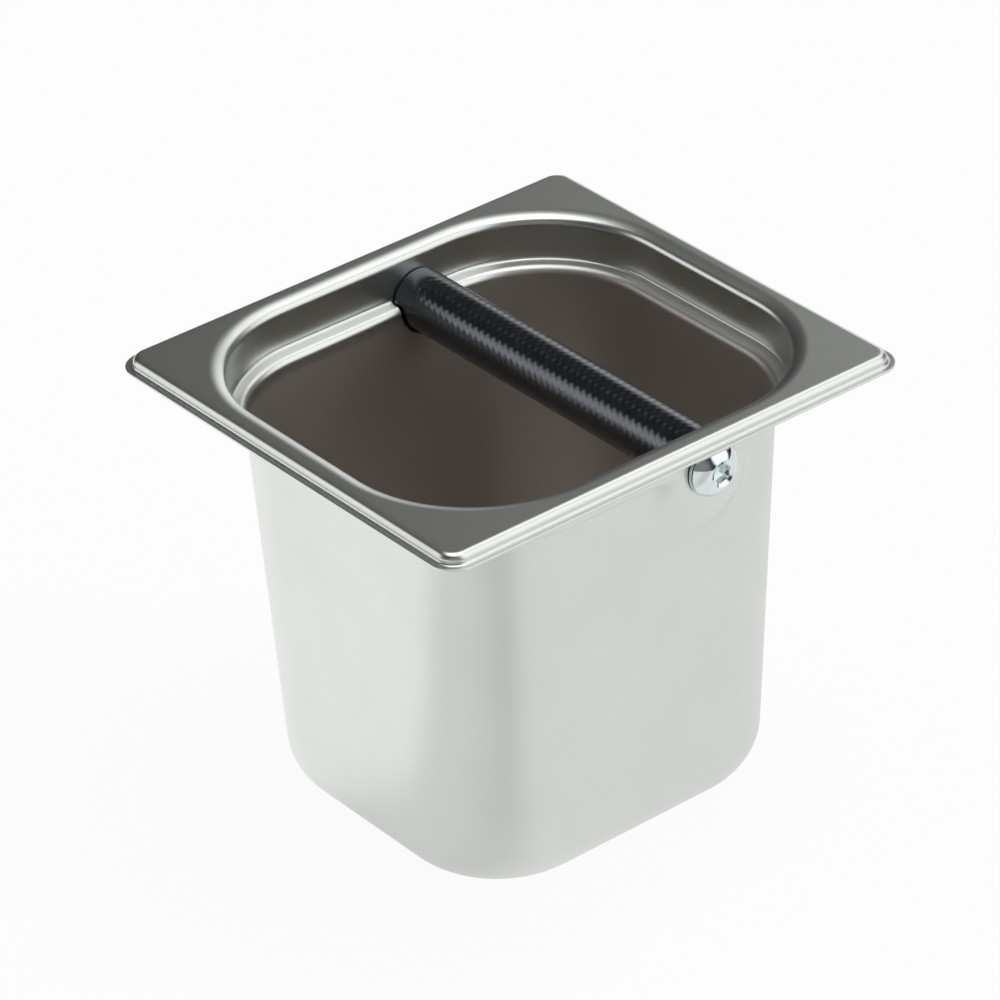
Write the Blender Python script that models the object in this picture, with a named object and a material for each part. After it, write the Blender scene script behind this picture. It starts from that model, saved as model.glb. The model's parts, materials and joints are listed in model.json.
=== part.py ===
"""Espresso knock box: a drawn steel pan with a rubber-sleeved knock bar screwed across its mouth.

Lengths are in metres and +Z is up. The origin is the middle of the pan's base. The bar runs along Y,
nearer to the +X end, and the front of the box is its -Y side.
"""

import math

import bmesh
import bpy
from mathutils import Vector

MM = 0.001

# Pan: outline of the rim, how far in from it the walls stand, and how far they lean in to the foot
SHEET = 0.8 * MM
HEIGHT = 150.0 * MM
RIM_LENGTH = 176.0 * MM
RIM_WIDTH = 162.0 * MM
RIM_CORNER = 8.5 * MM
RIM_BAND = 17.0 * MM
WALL_CORNER = 38.6 * MM
END_DRAFT = 7.1 * MM
SIDE_DRAFT = 5.4 * MM
FOOT_CORNER = 34.8 * MM
FOOT_FILLET = 16.0 * MM

# Pan: lip and step at the outside of the rim
LIP_REACH = 2.4 * MM
LIP_FILLET = 0.8 * MM
STEP_HEIGHT = 3.3 * MM
STEP_ROUND = 2.3 * MM

# Pan: rolled edge of the mouth, collar and stacking shoulder
ROLL_EASE = 9.0 * MM
ROLL_EASE_ANGLE = math.radians(25.0)
ROLL_ROUND = 2.6 * MM
COLLAR_DEPTH = 15.0 * MM
COLLAR_FILLET = 1.2 * MM
SHOULDER_WIDTH = 5.25 * MM
SHOULDER_FALL = math.radians(8.0)
SHOULDER_ROUND = 2.6 * MM

# Pan: flat seat pressed into the wall round each screw hole, with a longer flank below it
SEAT_FLANK = 3.0 * MM
SEAT_SKIRT = 12.0 * MM
SEAT_GROWTH = 0.6 * MM

# Knock bar: where its axis lies, and the rod and hose on it
BAR_FROM_MIDDLE = 19.3 * MM
BAR_BELOW_RIM = 16.5 * MM
ROD_DIAMETER = 13.7 * MM
ROD_CHAMFER = 0.6 * MM
SLEEVE_DIAMETER = 19.3 * MM
SLEEVE_EDGE_ROUND = 0.5 * MM
SLEEVE_END_GAP = 0.4 * MM
TAPPED_DEPTH = 24.0 * MM

# Screws and washers
THREAD_DIAMETER = 10.0 * MM
SHANK_LENGTH = 20.0 * MM
SHANK_CHAMFER = 1.0 * MM
HEAD_DIAMETER = 17.5 * MM
HEAD_HEIGHT = 4.0 * MM
HEAD_EDGE = 0.3 * MM
HEAD_FLAT_DIAMETER = 8.8 * MM
HEX_ACROSS_FLATS = 6.0 * MM
HEX_DEPTH = 3.2 * MM
SOCKET_TURN = math.radians(-16.0)
WASHER_DIAMETER = 18.0 * MM
WASHER_THICKNESS = 1.0 * MM
WASHER_CHAMFER = 0.2 * MM

# Clearances
SEAT_GAP = 0.3 * MM
THREAD_CLEARANCE = 0.3 * MM
HOLE_CLEARANCE = 0.4 * MM
SLEEVE_CLEARANCE = 0.15 * MM
SEAT_MARGIN = 0.35 * MM

# Fineness of the meshes
CORNER_STEPS = 8
ROUND_SIDES = 36
SEAT_COLUMNS = 4
SEAT_COLUMN_CUTS = 7
SEAT_ROW_CUTS = 13
EDGE_STEPS = 3
DOME_STEPS = 5
CLOSEST_STATIONS = 0.3
SMOOTH_ANGLE = math.radians(40.0)
TINY = 0.001 * MM

# Sizes, levels and places that follow, the walls measured on the inside of the sheet
WALL_LENGTH = RIM_LENGTH - 2 * RIM_BAND
WALL_WIDTH = RIM_WIDTH - 2 * RIM_BAND
FOOT_LENGTH = WALL_LENGTH - 2 * END_DRAFT
FOOT_WIDTH = WALL_WIDTH - 2 * SIDE_DRAFT
SHOULDER_LEVEL = HEIGHT - COLLAR_DEPTH
COLLAR_HALF_WIDTH = WALL_WIDTH / 2 + SHOULDER_WIDTH
BAR_X = BAR_FROM_MIDDLE
BAR_Z = HEIGHT - BAR_BELOW_RIM
SEAT_RADIUS = SLEEVE_DIAMETER / 2 + SEAT_MARGIN
SEAT_REACH = SEAT_RADIUS + SEAT_FLANK + SEAT_GROWTH
SEAT_BOTTOM = BAR_Z - SEAT_RADIUS - SEAT_SKIRT - SEAT_GROWTH
ROD_HALF_LENGTH = COLLAR_HALF_WIDTH - SEAT_GAP
SLEEVE_HALF_LENGTH = COLLAR_HALF_WIDTH - SLEEVE_END_GAP
WASHER_SEAT = COLLAR_HALF_WIDTH + SHEET + SEAT_GAP
HEAD_SEAT = WASHER_SEAT + WASHER_THICKNESS + SEAT_GAP
TAPPED_RADIUS = THREAD_DIAMETER / 2 + THREAD_CLEARANCE
SCREW_HOLE_RADIUS = THREAD_DIAMETER / 2 + HOLE_CLEARANCE


def clear_scene():
    """Remove every object that the scene starts with."""
    for thing in list(bpy.data.objects):
        bpy.data.objects.remove(thing, do_unlink=True)


def make_material(name, colour, roughness, metallic):
    """A plain finish in one colour."""
    material = bpy.data.materials.new(name)
    material.use_nodes = True
    shader = material.node_tree.nodes["Principled BSDF"]
    shader.inputs["Base Color"].default_value = (*colour, 1.0)
    shader.inputs["Roughness"].default_value = roughness
    shader.inputs["Metallic"].default_value = metallic
    material.diffuse_color = (*colour, 1.0)
    return material


def add_object(name, mesh, material, parent=None):
    """Put a mesh into the scene under a name, with its finish."""
    thing = bpy.data.objects.new(name, mesh)
    bpy.context.scene.collection.objects.link(thing)
    thing.parent = parent
    if material is not None:
        mesh.materials.append(material)
    return thing


def add_empty(name, location):
    """A guide that pieces on one axis hang from."""
    empty = bpy.data.objects.new(name, None)
    empty.location = location
    bpy.context.scene.collection.objects.link(empty)
    return empty


def skin_over(name, rings, closed=False):
    """A mesh through rings of points; the last ring meets the first if closed, else both ends are capped."""
    shape = bmesh.new()
    loops = [[shape.verts.new(point) for point in ring] for ring in rings]
    following = loops[1:] + loops[:1] if closed else loops[1:]
    for lower, upper in zip(loops, following):
        count = len(lower)
        for i in range(count):
            j = (i + 1) % count
            shape.faces.new((lower[i], lower[j], upper[j], upper[i]))
    if not closed:
        shape.faces.new(loops[0])
        shape.faces.new(loops[-1])
    bmesh.ops.recalc_face_normals(shape, faces=shape.faces)
    mesh = bpy.data.meshes.new(name)
    shape.to_mesh(mesh)
    shape.free()
    mesh.shade_smooth()
    mesh.set_sharp_from_angle(angle=SMOOTH_ANGLE)
    return mesh


def circle(radius, level, sides=ROUND_SIDES):
    """A ring of points round the Z axis."""
    turns = [2 * math.pi * i / sides for i in range(sides)]
    return [Vector((radius * math.cos(a), radius * math.sin(a), level)) for a in turns]


def hexagon(across_flats, level, sides=ROUND_SIDES):
    """A six-sided ring round the Z axis, with as many points as a circle has."""
    points = []
    for i in range(sides):
        turn = 2 * math.pi * i / sides
        from_flat = turn % (math.pi / 3) - math.pi / 6
        radius = across_flats / 2 / math.cos(from_flat)
        points.append(Vector((radius * math.cos(turn), radius * math.sin(turn), level)))
    return points


def turned(name, profile, closed=False):
    """A mesh turned round the Z axis from points of radius and level."""
    return skin_over(name, [circle(radius, level) for radius, level in profile], closed)


def run(length, stops=()):
    """A straight stretch of a section, with extra points at the distances given."""
    return ("run", length, stops)


def bend(angle, radius, steps):
    """A round stretch of a section: a positive angle turns left."""
    return ("bend", angle, radius, steps)


def trace(start, moves, skin):
    """Points of a section line that starts inwards and keeps `skin` to the right of its moves."""
    x, z = start[0], start[1] - skin
    heading = 0.0
    points = [(x, z)]
    for kind, *sizes in moves:
        if kind == "run":
            length, stops = sizes
            for distance in [*stops, length]:
                points.append((x + distance * math.cos(heading), z + distance * math.sin(heading)))
        else:
            angle, radius, steps = sizes
            side = math.copysign(1.0, angle)
            reach = radius + side * skin
            for step in range(1, steps + 1):
                turn = heading + angle * step / steps
                points.append(
                    (
                        x + side * reach * (math.sin(turn) - math.sin(heading)),
                        z - side * reach * (math.cos(turn) - math.cos(heading)),
                    )
                )
            heading += angle
        x, z = points[-1]
    return points


def rim_section(skin):
    """Section of the rim from the lip's outer edge to the flat of the rim."""
    quarter = math.pi / 2
    moves = [
        run(LIP_REACH - LIP_FILLET),
        bend(quarter, LIP_FILLET, 2),
        run(STEP_HEIGHT - LIP_FILLET - STEP_ROUND),
        bend(-quarter, STEP_ROUND, 4),
    ]
    return trace((0.0, HEIGHT - STEP_HEIGHT), moves, skin)


def body_section(skin):
    """Section of the pan from the flat of the rim through collar, shoulder and wall to the flat base."""
    quarter = math.pi / 2
    ease = ROLL_EASE_ANGLE
    fall = SHOULDER_FALL
    roll_reach = ROLL_EASE * math.sin(ease) + ROLL_ROUND * (1 - math.sin(ease))
    roll_drop = ROLL_EASE * (1 - math.cos(ease)) + ROLL_ROUND * math.cos(ease)
    bends_width = (COLLAR_FILLET + SHOULDER_ROUND) * (1 - math.sin(fall))
    shoulder_run = (SHOULDER_WIDTH - bends_width) / math.cos(fall)
    wall_top = SHOULDER_LEVEL - shoulder_run * math.sin(fall) - SHOULDER_ROUND * math.cos(fall)
    wall_run = wall_top - SHEET - FOOT_FILLET
    below_seat = wall_top - SEAT_BOTTOM
    stops = [below_seat] if 0.0 < below_seat < wall_run else []
    moves = [
        bend(-ease, ROLL_EASE, 3),
        bend(ease - quarter, ROLL_ROUND, 4),
        run(COLLAR_DEPTH - roll_drop - COLLAR_FILLET * math.cos(fall)),
        bend(quarter - fall, COLLAR_FILLET, 2),
        run(shoulder_run),
        bend(fall - quarter, SHOULDER_ROUND, 3),
        run(wall_run, stops),
        bend(quarter, FOOT_FILLET, 5),
    ]
    return trace((-SHOULDER_WIDTH - roll_reach, HEIGHT), moves, skin)


def wall_outline(level):
    """Half length, half width and corner radius of the body's inside, which tapers below the shoulder."""
    share = min(level / SHOULDER_LEVEL, 1.0)
    length = FOOT_LENGTH + (WALL_LENGTH - FOOT_LENGTH) * share
    width = FOOT_WIDTH + (WALL_WIDTH - FOOT_WIDTH) * share
    corner = FOOT_CORNER + (WALL_CORNER - FOOT_CORNER) * share
    return length / 2, width / 2, corner


def station_of(x):
    """Place along a long side of the body: up to 1 on its straight stretch, from 1 to 2 round a corner."""
    half_length, _, corner = wall_outline(SHOULDER_LEVEL)
    straight = half_length - corner
    if abs(x) <= straight:
        return x / straight
    turn = math.asin(min((abs(x) - straight) / corner, 1.0))
    return math.copysign(1.0 + turn / (math.pi / 2), x)


def stations():
    """Places along a long side, corner to corner, with the bar's seat among them."""
    shares = [2 * column / SEAT_COLUMNS - 1 for column in range(SEAT_COLUMNS + 1)]
    seat = [station_of(BAR_X + SEAT_REACH * share) for share in shares]
    corner = [1.0 + step / CORNER_STEPS for step in range(CORNER_STEPS + 1)]
    plain = [-place for place in reversed(corner)] + [0.0] + corner
    apart = CLOSEST_STATIONS / CORNER_STEPS
    kept = [place for place in plain if all(abs(place - other) > apart for other in seat)]
    return sorted(kept + seat)


def outline_point(half_length, half_width, corner, place):
    """Point of a rounded rectangle's +Y side at a place along it."""
    straight = half_length - corner
    if abs(place) <= 1.0:
        return Vector((place * straight, half_width))
    turn = (abs(place) - 1.0) * math.pi / 2
    x = math.copysign(straight + corner * math.sin(turn), place)
    return Vector((x, half_width - corner + corner * math.cos(turn)))


def ring_round(half_sides, level):
    """A closed ring from its +Y side, mirrored to the -Y side."""
    far = [Vector((point.x, point.y, level)) for point in half_sides]
    near = [Vector((point.x, -point.y, level)) for point in reversed(half_sides)]
    return far + near


def rim_ring(inset, level):
    """Ring of the rim at a distance in from its outer edge."""
    sizes = (RIM_LENGTH / 2 - inset, RIM_WIDTH / 2 - inset, RIM_CORNER - inset)
    return ring_round([outline_point(*sizes, place) for place in stations()], level)


def body_ring(inset, level):
    """Ring of the body at a distance in from its outline at that level."""
    sizes = [value - inset for value in wall_outline(level)]
    return ring_round([outline_point(*sizes, place) for place in stations()], level)


def pan_skin(skin):
    """Rings of one face of the sheet, from the lip's outer edge to the base."""
    rim = [rim_ring(inset, level) for inset, level in rim_section(skin)]
    body = [body_ring(inset, level) for inset, level in body_section(skin)]
    return rim + body


def in_seat(vertex):
    """Whether a point of the pan lies where a seat may move it; its columns lean a little with the wall."""
    beside = abs(vertex.co.x - BAR_X) <= SEAT_REACH + SHEET / 2
    top = SHOULDER_LEVEL + COLLAR_FILLET
    return beside and SEAT_BOTTOM - TINY <= vertex.co.z <= top


def seat_share(vertex, skin):
    """1 on the flat seat round a screw hole, easing to 0 at the foot of its flank."""
    distance = math.hypot(vertex.co.x - BAR_X, vertex.co.z - BAR_Z)
    below = max(BAR_Z - vertex.co.z, 0.0) / max(distance, TINY)
    flank = SEAT_FLANK + (SEAT_SKIRT - SEAT_FLANK) * below**2
    foot = SEAT_RADIUS + flank + SEAT_GROWTH * skin / SHEET
    share = min(max((foot - distance) / flank, 0.0), 1.0)
    return share * share * (3 - 2 * share)


def seat_edges(shape, level):
    """Edges of the seats' patches: the level ones, or the upright ones on the wall below the shoulder."""
    found = []
    for edge in shape.edges:
        low, high = sorted(vertex.co.z for vertex in edge.verts)
        if not all(in_seat(vertex) for vertex in edge.verts) or (high - low < TINY) != level:
            continue
        if level or low < SEAT_BOTTOM + TINY:
            found.append(edge)
    return found


def press_seats(mesh, outside_from):
    """Press the wall out flush with the collar round each screw hole.

    The points from index `outside_from` on are those of the sheet's outer face.
    """
    shape = bmesh.new()
    shape.from_mesh(mesh)
    shape.verts.ensure_lookup_table()
    skin_of = shape.verts.layers.float.new("skin")
    for vertex in shape.verts[outside_from:]:
        vertex[skin_of] = SHEET
    for cuts, level in ((SEAT_ROW_CUTS, False), (SEAT_COLUMN_CUTS, True)):
        edges = seat_edges(shape, level)
        bmesh.ops.subdivide_edges(shape, edges=edges, cuts=cuts, use_grid_fill=True, use_single_edge=True)
    for vertex in shape.verts:
        flush = COLLAR_HALF_WIDTH + vertex[skin_of]
        depth = flush - abs(vertex.co.y)
        if in_seat(vertex) and depth > 0.0:
            depth *= 1 - seat_share(vertex, vertex[skin_of])
            vertex.co.y = math.copysign(flush - depth, vertex.co.y)
    shape.to_mesh(mesh)
    shape.free()
    mesh.set_sharp_from_angle(angle=SMOOTH_ANGLE)


def add_pan(material):
    """The drawn pan, with a screw hole through each long wall."""
    inside = pan_skin(0.0)
    outside = pan_skin(SHEET)
    mesh = skin_over("pan", inside[::-1] + outside)
    press_seats(mesh, sum(len(ring) for ring in inside))
    pan = add_object("pan", mesh, material)
    drill_length = RIM_WIDTH
    profile = [(SCREW_HOLE_RADIUS, -drill_length / 2), (SCREW_HOLE_RADIUS, drill_length / 2)]
    drill = add_object("screw_hole_cutter", turned("screw_hole_cutter", profile), None)
    drill.location = (BAR_X, 0.0, BAR_Z)
    drill.rotation_euler = (math.pi / 2, 0.0, 0.0)
    drill.hide_render = True
    drill.display_type = "WIRE"
    holes = pan.modifiers.new("screw_holes", "BOOLEAN")
    holes.operation = "DIFFERENCE"
    holes.solver = "EXACT"
    holes.object = drill


def add_rod(material, axis):
    """The steel core of the bar, tapped at both ends."""
    radius = ROD_DIAMETER / 2
    end = ROD_HALF_LENGTH
    half = [
        (TAPPED_RADIUS, end - TAPPED_DEPTH),
        (TAPPED_RADIUS, end),
        (radius - ROD_CHAMFER, end),
        (radius, end - ROD_CHAMFER),
    ]
    other_half = [(size, -level) for size, level in reversed(half)]
    rod = add_object("knock_bar_rod", turned("knock_bar_rod", half + other_half), material, axis)
    rod.rotation_euler = (math.pi / 2, 0.0, 0.0)


def add_sleeve(material, axis):
    """The rubber hose that turns on the rod, with rounded ends."""
    outer = SLEEVE_DIAMETER / 2
    bore = ROD_DIAMETER / 2 + SLEEVE_CLEARANCE
    end = SLEEVE_HALF_LENGTH
    edge = SLEEVE_EDGE_ROUND
    half = [(bore, end)]
    for step in range(EDGE_STEPS + 1):
        turn = math.pi / 2 * step / EDGE_STEPS
        half.append((outer - edge + edge * math.sin(turn), end - edge + edge * math.cos(turn)))
    other_half = [(size, -level) for size, level in reversed(half)]
    mesh = turned("rubber_sleeve", half + other_half, closed=True)
    sleeve = add_object("rubber_sleeve", mesh, material, axis)
    sleeve.rotation_euler = (math.pi / 2, 0.0, 0.0)


def dome_profile():
    """Radius and level along the screw head's dome, from its edge to its flat."""
    edge = HEAD_DIAMETER / 2
    flat = HEAD_FLAT_DIAMETER / 2
    gap = edge**2 + HEAD_EDGE**2 - flat**2 - HEAD_HEIGHT**2
    centre = gap / (2 * (HEAD_EDGE - HEAD_HEIGHT))
    sphere = math.hypot(flat, HEAD_HEIGHT - centre)
    first = math.atan2(HEAD_EDGE - centre, edge)
    last = math.atan2(HEAD_HEIGHT - centre, flat)
    turns = [first + (last - first) * step / DOME_STEPS for step in range(DOME_STEPS + 1)]
    return [(sphere * math.cos(turn), centre + sphere * math.sin(turn)) for turn in turns]


def screw_mesh():
    """A button-head screw along Z, its head's seat at level 0 and its hex socket on top."""
    thread = THREAD_DIAMETER / 2
    profile = [
        (thread - SHANK_CHAMFER, -SHANK_LENGTH),
        (thread, SHANK_CHAMFER - SHANK_LENGTH),
        (thread, 0.0),
        (HEAD_DIAMETER / 2, 0.0),
    ]
    rings = [circle(radius, level) for radius, level in profile + dome_profile()]
    rings.append(hexagon(HEX_ACROSS_FLATS, HEAD_HEIGHT))
    rings.append(hexagon(HEX_ACROSS_FLATS, HEAD_HEIGHT - HEX_DEPTH))
    return skin_over("button_head_screw", rings)


def washer_mesh():
    """A flat washer along Z, its seat at level 0, with broken outer edges."""
    bore = THREAD_DIAMETER / 2 + THREAD_CLEARANCE
    outer = WASHER_DIAMETER / 2
    top = WASHER_THICKNESS
    profile = [
        (bore, 0.0),
        (outer - WASHER_CHAMFER, 0.0),
        (outer, WASHER_CHAMFER),
        (outer, top - WASHER_CHAMFER),
        (outer - WASHER_CHAMFER, top),
        (bore, top),
    ]
    return turned("flat_washer", profile, closed=True)


def add_fasteners(material, axis):
    """A screw and its washer on the front wall, and the same on the rear wall."""
    screw = screw_mesh()
    washer = washer_mesh()
    screw.materials.append(material)
    washer.materials.append(material)
    for side, outward in (("front", -1), ("rear", 1)):
        for name, mesh, seat in (("washer", washer, WASHER_SEAT), ("screw", screw, HEAD_SEAT)):
            piece = add_object(f"{side}_{name}", mesh, None, axis)
            piece.location = (0.0, outward * seat, 0.0)
            piece.rotation_euler = (-outward * math.pi / 2, SOCKET_TURN, 0.0)


def main():
    """Build the knock box."""
    clear_scene()
    satin_steel = make_material("satin_stainless_steel", (0.55, 0.54, 0.52), 0.32, 1.0)
    plain_steel = make_material("plain_steel", (0.45, 0.45, 0.46), 0.4, 1.0)
    black_rubber = make_material("black_rubber", (0.018, 0.018, 0.02), 0.55, 0.0)
    bright_zinc = make_material("bright_zinc", (0.72, 0.74, 0.76), 0.14, 1.0)
    bar_axis = add_empty("bar_axis", (BAR_X, 0.0, BAR_Z))
    add_pan(satin_steel)
    add_rod(plain_steel, bar_axis)
    add_sleeve(black_rubber, bar_axis)
    add_fasteners(bright_zinc, bar_axis)


main()
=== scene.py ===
"""Looks of an espresso knock box: a drawn steel pan, a rubber-sleeved knock bar and its screws.

Lengths are in metres and +Z is up. The origin is the middle of the pan's base, the bar runs along Y and
the front of the box is its -Y side.
"""

import json
import logging
import math
from collections.abc import Iterable, Sequence
from dataclasses import dataclass
from enum import Enum

import bmesh
import bpy
import numpy as np
from mathutils import Matrix, Vector

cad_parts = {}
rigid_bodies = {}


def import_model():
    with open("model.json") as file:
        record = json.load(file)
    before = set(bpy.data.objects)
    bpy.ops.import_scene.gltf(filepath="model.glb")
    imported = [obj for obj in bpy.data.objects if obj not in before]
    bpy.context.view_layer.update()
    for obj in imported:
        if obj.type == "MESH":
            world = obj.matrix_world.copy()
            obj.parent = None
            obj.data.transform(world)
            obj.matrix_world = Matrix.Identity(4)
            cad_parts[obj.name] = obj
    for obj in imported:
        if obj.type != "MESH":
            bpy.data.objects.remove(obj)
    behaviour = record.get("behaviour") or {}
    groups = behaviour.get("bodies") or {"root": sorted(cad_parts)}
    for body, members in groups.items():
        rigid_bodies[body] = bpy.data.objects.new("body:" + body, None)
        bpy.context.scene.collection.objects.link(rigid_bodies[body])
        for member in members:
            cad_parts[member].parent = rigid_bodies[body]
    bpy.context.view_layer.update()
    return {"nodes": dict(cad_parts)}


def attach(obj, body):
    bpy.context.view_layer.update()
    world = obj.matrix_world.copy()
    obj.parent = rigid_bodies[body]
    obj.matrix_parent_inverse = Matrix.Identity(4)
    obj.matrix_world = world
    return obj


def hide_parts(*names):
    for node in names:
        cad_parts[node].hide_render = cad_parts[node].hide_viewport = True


for startup_object in list(bpy.data.objects):
    bpy.data.objects.remove(startup_object, do_unlink=True)

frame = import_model()

MM = 0.001
TURN = 2 * math.pi
log = logging.getLogger("knock_box")


class Side(Enum):
    """The wall that a screw and its washer sit on, with the way that it faces along Y."""

    FRONT = -1
    REAR = 1

    @property
    def word(self) -> str:
        """The side's name inside piece names."""
        return self.name.lower()


class Skin(Enum):
    """The two faces of the pan's sheet."""

    INSIDE = 0
    OUTSIDE = 1


class Field:
    """A number that a node tree works out, joined to others by the usual signs of arithmetic."""

    def __init__(self, board: "NodeBoard", socket: bpy.types.NodeSocket) -> None:
        """Keep the board and the socket that the number comes from."""
        self.board = board
        self.socket = socket

    def maths(self, operation: str, *others: "Field | float", clamp: bool = False) -> "Field":
        """Work out one step of arithmetic.

        Args:
            operation: Name of the step on the Math node.
            others: The other numbers that the step needs.
            clamp: Whether the result is kept from 0 to 1.

        Returns:
            The result.
        """
        node = self.board.tree.nodes.new("ShaderNodeMath")
        node.operation = operation
        node.use_clamp = clamp
        for socket, value in zip(node.inputs, (self, *others)):
            self.board.plug(socket, value)
        return Field(self.board, node.outputs[0])

    def __add__(self, other: "Field | float") -> "Field":
        """The sum."""
        return self.maths("ADD", other)

    def __sub__(self, other: "Field | float") -> "Field":
        """The difference."""
        return self.maths("SUBTRACT", other)

    def __mul__(self, other: "Field | float") -> "Field":
        """The product."""
        return self.maths("MULTIPLY", other)

    def __truediv__(self, other: "Field | float") -> "Field":
        """The quotient."""
        return self.maths("DIVIDE", other)

    def clamped(self) -> "Field":
        """The number kept from 0 to 1."""
        return self.maths("ADD", 0.0, clamp=True)

    def between(self, low: float, high: float) -> "Field":
        """A number from 0 to 1, spread from low to high."""
        return self * (high - low) + low

    def eased(self, start: "Field | float", end: "Field | float") -> "Field":
        """A smooth step.

        Args:
            start: Where the step is 0.
            end: Where the step is 1.

        Returns:
            The step's height, from 0 to 1.
        """
        step = self.board.add("ShaderNodeMapRange", {"interpolation_type": "SMOOTHSTEP"})
        for name, value in (("Value", self), ("From Min", start), ("From Max", end)):
            self.board.plug(step.inputs[name], value)
        return Field(self.board, step.outputs["Result"])


class NodeBoard:
    """Puts nodes on a node tree and links them."""

    def __init__(self, tree: bpy.types.NodeTree) -> None:
        """Keep the tree."""
        self.tree = tree

    def plug(self, socket: bpy.types.NodeSocket, value: object) -> None:
        """Link a socket to another, or give it a fixed value.

        Args:
            socket: The input to fill.
            value: A field, an output socket or a plain value.
        """
        if isinstance(value, Field):
            value = value.socket
        if isinstance(value, bpy.types.NodeSocket):
            self.tree.links.new(value, socket)
        else:
            socket.default_value = value

    def add(self, kind: str, settings: dict | None = None, **inputs: object) -> bpy.types.Node:
        """Add one node.

        Args:
            kind: Blender's name of the node.
            settings: Properties to set on the node.
            inputs: Values by the name of the input, with underscores for spaces.

        Returns:
            The node.
        """
        node = self.tree.nodes.new(kind)
        for name, value in (settings or {}).items():
            setattr(node, name, value)
        for name, value in inputs.items():
            self.plug(node.inputs[name.replace("_", " ")], value)
        return node

    def parts(self, vector: bpy.types.NodeSocket) -> tuple[Field, Field, Field]:
        """The three numbers of a vector."""
        split = self.add("ShaderNodeSeparateXYZ", Vector=vector)
        return tuple(Field(self, output) for output in split.outputs)

    def noise(
        self, where: object, scale: float, stretch: Sequence[float] = (1, 1, 1), detail: float = 2
    ) -> Field:
        """A noise from 0 to 1.

        Args:
            where: Coordinates that it is read at.
            scale: Grains in a metre.
            stretch: How much faster it changes along X, Y and Z.
            detail: Number of finer layers.

        Returns:
            The noise's height.
        """
        mapped = self.add("ShaderNodeMapping", Vector=where, Scale=tuple(stretch))
        grain = self.add("ShaderNodeTexNoise", Vector=mapped.outputs[0], Scale=scale, Detail=detail)
        return Field(self, grain.outputs["Fac"])

    def attribute(self, name: str) -> Field:
        """A number that the mesh carries on its points."""
        return Field(self, self.add("ShaderNodeAttribute", {"attribute_name": name}).outputs["Fac"])

    def colour(self, share: Field, first: object, second: Sequence[float]) -> bpy.types.NodeSocket:
        """A colour between two others.

        Args:
            share: 0 for the first colour, 1 for the second.
            first: Red, green and blue, or another colour's socket.
            second: Red, green and blue.

        Returns:
            The mixed colour's socket.
        """
        mix = self.add("ShaderNodeMix", {"data_type": "RGBA"})
        self.plug(mix.inputs["Factor"], share)
        self.plug(mix.inputs[6], first if isinstance(first, bpy.types.NodeSocket) else (*first, 1.0))
        self.plug(mix.inputs[7], (*second, 1.0))
        return mix.outputs[2]


class Paintwork:
    """A material under work: its board, its shader and the piece's own coordinates."""

    def __init__(self, name: str, metallic: float) -> None:
        """Start a material.

        Args:
            name: The material's name.
            metallic: 1 for metal, 0 for anything else.
        """
        self.material = bpy.data.materials.new(name)
        self.material.use_nodes = True
        self.board = NodeBoard(self.material.node_tree)
        self.shader = self.material.node_tree.nodes["Principled BSDF"]
        self.shader.inputs["Metallic"].default_value = metallic
        self.place = self.board.add("ShaderNodeTexCoord").outputs["Object"]

    def set(self, **inputs: object) -> None:
        """Fill inputs of the shader by name, with underscores for spaces."""
        for name, value in inputs.items():
            self.board.plug(self.shader.inputs[name.replace("_", " ")], value)

    def relief(self, height: Field, depth: float, strength: float) -> None:
        """Give the surface a relief: a height from 0 to 1, its real depth and the share that shows."""
        bump = self.board.add("ShaderNodeBump", Height=height, Distance=depth, Strength=strength)
        self.set(Normal=bump.outputs["Normal"])


@dataclass(frozen=True)
class SatinSteel:
    """Stainless sheet with a soft satin skin, upright drawing marks and a faint coffee film inside."""

    colour: tuple[float, float, float] = (0.70, 0.72, 0.695)
    clouded: tuple[float, float, float] = (0.68, 0.70, 0.675)
    film: tuple[float, float, float] = (0.60, 0.565, 0.53)
    roughness: float = 0.31
    film_roughness: float = 0.5

    def material(self) -> bpy.types.Material:
        """The pan's finish."""
        paint = Paintwork("satin_steel", 1.0)
        board = paint.board
        clouds = board.noise(paint.place, 38.0, detail=4)
        marks = board.noise(paint.place, 60.0, (18, 18, 0.6), detail=3)
        grain = board.noise(paint.place, 2600.0, detail=1)
        inside = board.attribute("inside")
        clean = board.colour(clouds.eased(0.3, 0.75), self.colour, self.clouded)
        satin = (clouds * 0.5 + marks * 0.5).between(self.roughness - 0.02, self.roughness + 0.03)
        paint.set(
            Base_Color=board.colour(inside, clean, self.film),
            Roughness=satin + inside * (self.film_roughness - self.roughness),
        )
        paint.relief(marks * 0.4 + grain * 0.6, 0.01 * MM, 0.08)
        return paint.material


@dataclass(frozen=True)
class TurnedSteel:
    """Bright steel bar with turning marks round it."""

    colour: tuple[float, float, float] = (0.5, 0.5, 0.51)
    dulled: tuple[float, float, float] = (0.38, 0.37, 0.36)

    def material(self) -> bpy.types.Material:
        """The rod's finish."""
        paint = Paintwork("turned_steel", 1.0)
        board = paint.board
        rings = board.noise(paint.place, 40.0, (1, 60, 1), detail=2)
        blotches = board.noise(paint.place, 160.0, detail=3)
        paint.set(
            Base_Color=board.colour(blotches.eased(0.35, 0.7), self.colour, self.dulled),
            Roughness=rings.between(0.28, 0.46),
        )
        paint.relief(rings, 0.02 * MM, 0.3)
        return paint.material


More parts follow.
